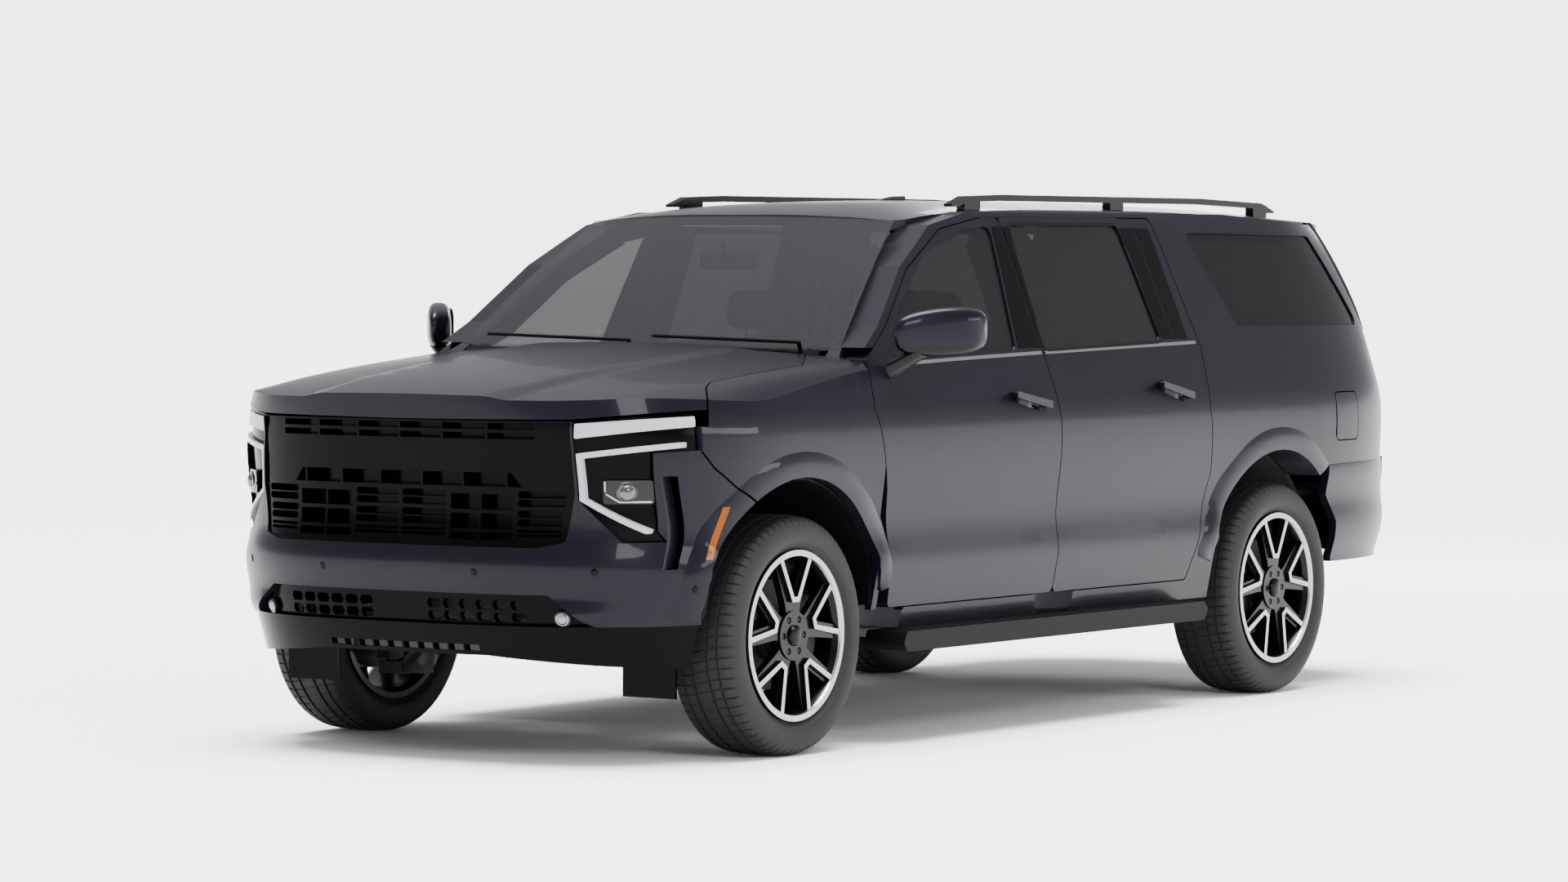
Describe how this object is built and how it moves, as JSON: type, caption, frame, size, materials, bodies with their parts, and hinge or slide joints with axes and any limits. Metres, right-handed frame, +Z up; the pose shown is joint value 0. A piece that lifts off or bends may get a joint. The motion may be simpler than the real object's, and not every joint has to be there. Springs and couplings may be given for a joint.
{
  "type": "full-size sport utility vehicle",
  "caption": "Full-size, three-row sport utility vehicle with hinged doors, hood, liftgate and fuel flap, steered front wheels and turning wheels on a ladder frame.",
  "frame": {"origin": "on the ground below the middle of the overall length, on the centre plane", "axes": "+X forwards towards the nose, +Y to the vehicle's left, +Z up"},
  "size_m": [5.7513, 2.4424, 1.9549],
  "materials": {
    "paint": "metallic gloss",
    "gloss_black": "gloss",
    "dark_trim": "satin",
    "clear_glass": "gloss",
    "tinted_glass": "gloss",
    "lamp_clear": "gloss",
    "lamp_red": "gloss",
    "underbody": "satin",
    "cast_parts": "rough",
    "steel": "brushed",
    "cabin_trim": "matt",
    "seat_leather": "grained",
    "wheel_alloy": "gloss",
    "tyre": "matt"
  },
  "bodies": {
    "body": {"chassis_frame": "underbody", "floor_pan": "underbody", "wheel_liners": "dark_trim", "side_frames": "paint", "roof_panel": "paint", "roof_rails": "gloss_black", "front_fenders": "paint", "front_bumper": "paint", "skid_plate": "dark_trim", "grille": "gloss_black", "headlamps": "lamp_clear", "fixed_glass": "tinted_glass", "cowl": "gloss_black", "tail_lamps": "lamp_red", "rear_bumper": "paint", "running_boards": "dark_trim", "front_suspension": "cast_parts", "rear_suspension": "cast_parts", "powertrain": "cast_parts", "exhaust": "steel", "fuel_tank": "underbody", "spare_wheel": "tyre", "dashboard": "cabin_trim", "seats": "seat_leather"},
    "hood": {"hood": "paint"},
    "door_front_left": {"door_front_left": "paint", "glass_front_left": "clear_glass", "mirror_left": "paint"},
    "door_front_right": {"door_front_right": "paint", "glass_front_right": "clear_glass", "mirror_right": "paint"},
    "door_rear_left": {"door_rear_left": "paint", "glass_rear_left": "tinted_glass"},
    "door_rear_right": {"door_rear_right": "paint", "glass_rear_right": "tinted_glass"},
    "liftgate": {"liftgate": "paint", "liftgate_glass": "tinted_glass"},
    "fuel_flap": {"fuel_flap": "paint"},
    "knuckle_left": {"knuckle_left": "cast_parts"},
    "knuckle_right": {"knuckle_right": "cast_parts"},
    "wheel_front_left": {"rim_front_left": "wheel_alloy", "tyre_front_left": "tyre"},
    "wheel_front_right": {"rim_front_right": "wheel_alloy", "tyre_front_right": "tyre"},
    "wheel_rear_left": {"rim_rear_left": "wheel_alloy", "tyre_rear_left": "tyre"},
    "wheel_rear_right": {"rim_rear_right": "wheel_alloy", "tyre_rear_right": "tyre"}
  },
  "joints": [
    {"name": "hood_hinge", "type": "hinge", "parent": "body", "child": "hood", "pos_m": [1.5, 0, 1.366], "axis": [0, -1, 0], "range_deg": [0, 48]},
    {"name": "door_front_left_hinge", "type": "hinge", "parent": "body", "child": "door_front_left", "pos_m": [1.345, 1.028, 0.9], "axis": [0, 0, -1], "range_deg": [0, 65]},
    {"name": "door_front_right_hinge", "type": "hinge", "parent": "body", "child": "door_front_right", "pos_m": [1.345, -1.028, 0.9], "axis": [0, 0, 1], "range_deg": [0, 65]},
    {"name": "door_rear_left_hinge", "type": "hinge", "parent": "body", "child": "door_rear_left", "pos_m": [0.165, 1.028, 0.9], "axis": [0, 0, -1], "range_deg": [0, 65]},
    {"name": "door_rear_right_hinge", "type": "hinge", "parent": "body", "child": "door_rear_right", "pos_m": [0.165, -1.028, 0.9], "axis": [0, 0, 1], "range_deg": [0, 65]},
    {"name": "liftgate_hinge", "type": "hinge", "parent": "body", "child": "liftgate", "pos_m": [-2.38, 0, 1.88], "axis": [0, 1, 0], "range_deg": [0, 80]},
    {"name": "fuel_flap_hinge", "type": "hinge", "parent": "body", "child": "fuel_flap", "pos_m": [-1.9515, 1.022, 1.084], "axis": [0, 0, -1], "range_deg": [0, 90]},
    {"name": "steer_left", "type": "hinge", "parent": "body", "child": "knuckle_left", "pos_m": [1.899, 0.77, 0.417], "axis": [0, 0, 1], "range_deg": [-35, 35]},
    {"name": "steer_right", "type": "hinge", "parent": "body", "child": "knuckle_right", "pos_m": [1.899, -0.77, 0.417], "axis": [0, 0, 1], "range_deg": [-35, 35]},
    {"name": "wheel_front_left_spin", "type": "hinge", "parent": "knuckle_left", "child": "wheel_front_left", "pos_m": [1.899, 0.8725, 0.417], "axis": [0, 1, 0], "continuous": true},
    {"name": "wheel_front_right_spin", "type": "hinge", "parent": "knuckle_right", "child": "wheel_front_right", "pos_m": [1.899, -0.8725, 0.417], "axis": [0, 1, 0], "continuous": true},
    {"name": "wheel_rear_left_spin", "type": "hinge", "parent": "body", "child": "wheel_rear_left", "pos_m": [-1.507, 0.8725, 0.417], "axis": [0, 1, 0], "continuous": true},
    {"name": "wheel_rear_right_spin", "type": "hinge", "parent": "body", "child": "wheel_rear_right", "pos_m": [-1.507, -0.8725, 0.417], "axis": [0, 1, 0], "continuous": true}
  ],
  "couplings": [
    {"joint": "steer_right", "follows": "steer_left", "ratio": 1}
  ]
}
